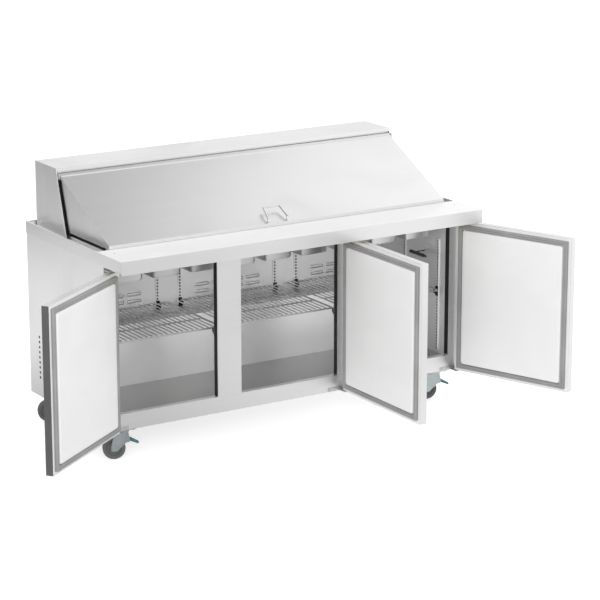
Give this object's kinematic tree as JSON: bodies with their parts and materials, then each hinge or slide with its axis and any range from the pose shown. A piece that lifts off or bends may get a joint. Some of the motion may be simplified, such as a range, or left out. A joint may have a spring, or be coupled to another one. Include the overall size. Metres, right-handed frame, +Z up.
{
  "type": "sandwich prep table",
  "caption": "Refrigerated sandwich prep table: stainless cabinet on casters, hinged doors, sloped lid over a pan well, rear hood.",
  "frame": {"origin": "centre of the bounding box's base at floor level, with the three doors open as stored", "axes": "+Z up, the doors face -Y, +X along the counter to the operator's right"},
  "size_m": [2.4314, 1.314, 1.156],
  "materials": {
    "stainless": "brushed stainless sheet",
    "stainless_side": "satin stainless panel",
    "liner_metal": "satin aluminium liner",
    "pan_steel": "drawn stainless",
    "galvanised": "galvanised sheet",
    "foam": "rigid foam",
    "door_liner": "satin white liner",
    "breaker_plastic": "black plastic",
    "gasket_grey": "grey magnetic gasket",
    "seal_black": "black seal",
    "bracket_steel": "zinc plated steel",
    "screw_steel": "steel screw heads",
    "chrome_wire": "chromed wire",
    "coated_wire": "coated wire",
    "clip_black": "black clips",
    "probe_dark": "dark tube",
    "fin_aluminium": "coil fins",
    "motor_black": "black enamel",
    "blade_grey": "grey fan blade",
    "copper": "copper tube",
    "zinc": "blue zinc plate",
    "tyre_black": "caster tyre",
    "pedal_teal": "teal zinc lever"
  },
  "bodies": {
    "cabinet": {"counter_top": "stainless", "board_pin": "screw_steel", "well_frame": "stainless", "divider_bar": "stainless", "sixth_pan": "pan_steel", "side_panel_left": "stainless_side", "side_panel_right": "stainless_side", "back_panel": "galvanised", "base_pan": "galvanised", "inner_liner": "liner_metal", "insulation": "foam", "bottom_rail": "stainless", "header_rail": "stainless", "corner_stile": "stainless", "mullion": "stainless", "breaker_strip": "breaker_plastic", "hood_sheet": "stainless_side", "hood_baffle": "stainless", "hood_seal": "seal_black", "lid_hinge_bracket": "bracket_steel", "door_hinge_bracket": "bracket_steel", "panel_screw": "screw_steel", "wire_shelf": "coated_wire", "shelf_standard": "liner_metal", "shelf_clip": "clip_black", "thermometer": "probe_dark", "duct_panel": "liner_metal", "evaporator_coil": "fin_aluminium", "evaporator_fan_motor": "motor_black", "compressor": "motor_black", "condenser_coil": "fin_aluminium", "condenser_fan_motor": "galvanised", "refrigerant_lines": "copper", "control_box": "galvanised", "caster_plate": "zinc"},
    "lid": {"lid_shell": "stainless", "lid_core": "door_liner", "lid_handle": "chrome_wire"},
    "door_left": {"door_skin_left": "stainless_side", "door_core_left": "door_liner", "door_gasket_left": "gasket_grey"},
    "door_middle": {"door_skin_middle": "stainless_side", "door_core_middle": "door_liner", "door_gasket_middle": "gasket_grey"},
    "door_right": {"door_skin_right": "stainless_side", "door_core_right": "door_liner", "door_gasket_right": "gasket_grey"},
    "caster_front_left": {"caster_fork_front_left": "zinc"},
    "wheel_front_left": {"caster_wheel_front_left": "tyre_black"},
    "pedal_front_left": {"brake_pedal_front_left": "pedal_teal"},
    "caster_front_right": {"caster_fork_front_right": "zinc"},
    "wheel_front_right": {"caster_wheel_front_right": "tyre_black"},
    "pedal_front_right": {"brake_pedal_front_right": "pedal_teal"},
    "caster_rear_left": {"caster_fork_rear_left": "zinc"},
    "wheel_rear_left": {"caster_wheel_rear_left": "tyre_black"},
    "caster_rear_right": {"caster_fork_rear_right": "zinc"},
    "wheel_rear_right": {"caster_wheel_rear_right": "tyre_black"},
    "evaporator_fan_left": {"evaporator_blade_left": "blade_grey"},
    "evaporator_fan_right": {"evaporator_blade_right": "blade_grey"},
    "condenser_fan": {"condenser_blade": "blade_grey"}
  },
  "joints": [
    {"name": "lid_hinge", "type": "hinge", "parent": "cabinet", "child": "lid", "pos_m": [0.1273, 0.4295, 1.122], "axis": [-1, 0, 0], "range_deg": [0, 125]},
    {"name": "door_left_hinge", "type": "hinge", "parent": "cabinet", "child": "door_left", "pos_m": [-0.7447, -0.087, 0.485], "axis": [0, 0, -1], "range_deg": [-144.4, 5.6]},
    {"name": "door_middle_hinge", "type": "hinge", "parent": "cabinet", "child": "door_middle", "pos_m": [0.4053, -0.087, 0.485], "axis": [0, 0, 1], "range_deg": [-90, 15]},
    {"name": "door_right_hinge", "type": "hinge", "parent": "cabinet", "child": "door_right", "pos_m": [0.9993, -0.087, 0.485], "axis": [0, 0, 1], "range_deg": [-111, 39]},
    {"name": "caster_front_left_swivel", "type": "hinge", "parent": "cabinet", "child": "caster_front_left", "pos_m": [-0.6627, -0.0065, 0.12], "axis": [0, 0, 1], "continuous": true},
    {"name": "wheel_front_left_spin", "type": "hinge", "parent": "caster_front_left", "child": "wheel_front_left", "pos_m": [-0.69768, 0.00835, 0.048], "axis": [0.3907, 0.9205, 0], "continuous": true},
    {"name": "brake_front_left_pedal", "type": "hinge", "parent": "caster_front_left", "child": "pedal_front_left", "pos_m": [-0.64429, -0.01431, 0.084], "axis": [0.3907, 0.9205, 0], "range_deg": [-4, 14]},
    {"name": "caster_front_right_swivel", "type": "hinge", "parent": "cabinet", "child": "caster_front_right", "pos_m": [0.9173, -0.0065, 0.12], "axis": [0, 0, 1], "continuous": true},
    {"name": "wheel_front_right_spin", "type": "hinge", "parent": "caster_front_right", "child": "wheel_front_right", "pos_m": [0.88232, 0.00835, 0.048], "axis": [0.3907, 0.9205, 0], "continuous": true},
    {"name": "brake_front_right_pedal", "type": "hinge", "parent": "caster_front_right", "child": "pedal_front_right", "pos_m": [0.93571, -0.01431, 0.084], "axis": [0.3907, 0.9205, 0], "range_deg": [-4, 14]},
    {"name": "caster_rear_left_swivel", "type": "hinge", "parent": "cabinet", "child": "caster_rear_left", "pos_m": [-0.6627, 0.6005, 0.12], "axis": [0, 0, 1], "continuous": true},
    {"name": "wheel_rear_left_spin", "type": "hinge", "parent": "caster_rear_left", "child": "wheel_rear_left", "pos_m": [-0.69768, 0.61535, 0.048], "axis": [0.3907, 0.9205, 0], "continuous": true},
    {"name": "caster_rear_right_swivel", "type": "hinge", "parent": "cabinet", "child": "caster_rear_right", "pos_m": [0.9173, 0.6005, 0.12], "axis": [0, 0, 1], "continuous": true},
    {"name": "wheel_rear_right_spin", "type": "hinge", "parent": "caster_rear_right", "child": "wheel_rear_right", "pos_m": [0.88232, 0.61535, 0.048], "axis": [0.3907, 0.9205, 0], "continuous": true},
    {"name": "evaporator_fan_left_spin", "type": "hinge", "parent": "cabinet", "child": "evaporator_fan_left", "pos_m": [-0.5627, 0.4955, 0.6], "axis": [0, 1, 0], "continuous": true},
    {"name": "evaporator_fan_right_spin", "type": "hinge", "parent": "cabinet", "child": "evaporator_fan_right", "pos_m": [0.8173, 0.4955, 0.6], "axis": [0, 1, 0], "continuous": true},
    {"name": "condenser_fan_spin", "type": "hinge", "parent": "cabinet", "child": "condenser_fan", "pos_m": [-0.5907, 0.5005, 0.27], "axis": [1, 0, 0], "continuous": true}
  ]
}
